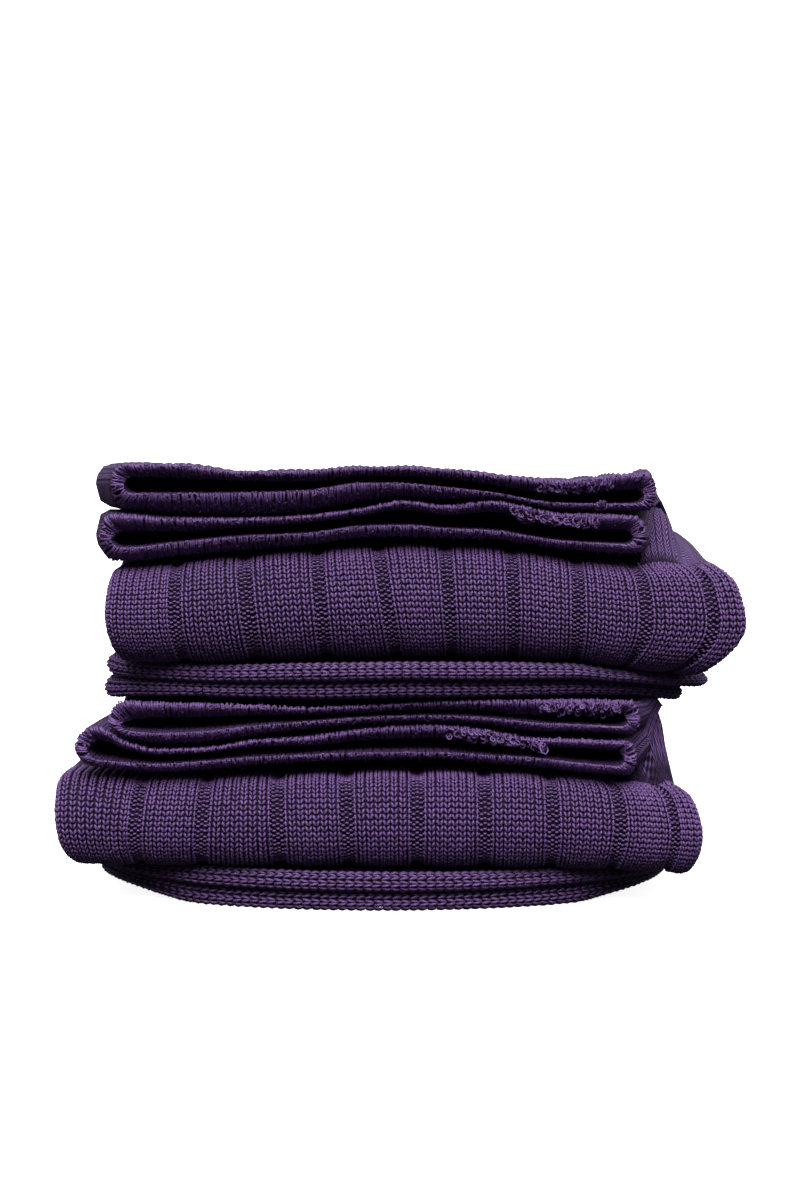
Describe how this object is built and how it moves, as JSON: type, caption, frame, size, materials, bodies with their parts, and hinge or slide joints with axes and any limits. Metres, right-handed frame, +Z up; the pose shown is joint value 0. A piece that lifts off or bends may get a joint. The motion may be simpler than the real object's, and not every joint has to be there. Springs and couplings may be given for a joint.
{
  "type": "folded ribbed socks",
  "caption": "Stack of fine ribbed socks laid flat in pairs and folded together into an S, with the open cuffs and the rounded toes at the front.",
  "frame": {"origin": "on the surface that the stack lies on, under the middle of its bounding box", "axes": "+X to the right seen from the open cuffs, +Y from the cuffs to the back folds, +Z up"},
  "size_m": [0.0907, 0.1146, 0.0592],
  "materials": {
    "knit": "deep purple fine mercerised cotton rib knit"
  },
  "bodies": {
    "root": {"lower_sock_a": "knit", "lower_sock_b": "knit", "upper_sock_a": "knit", "upper_sock_b": "knit"}
  },
  "joints": []
}
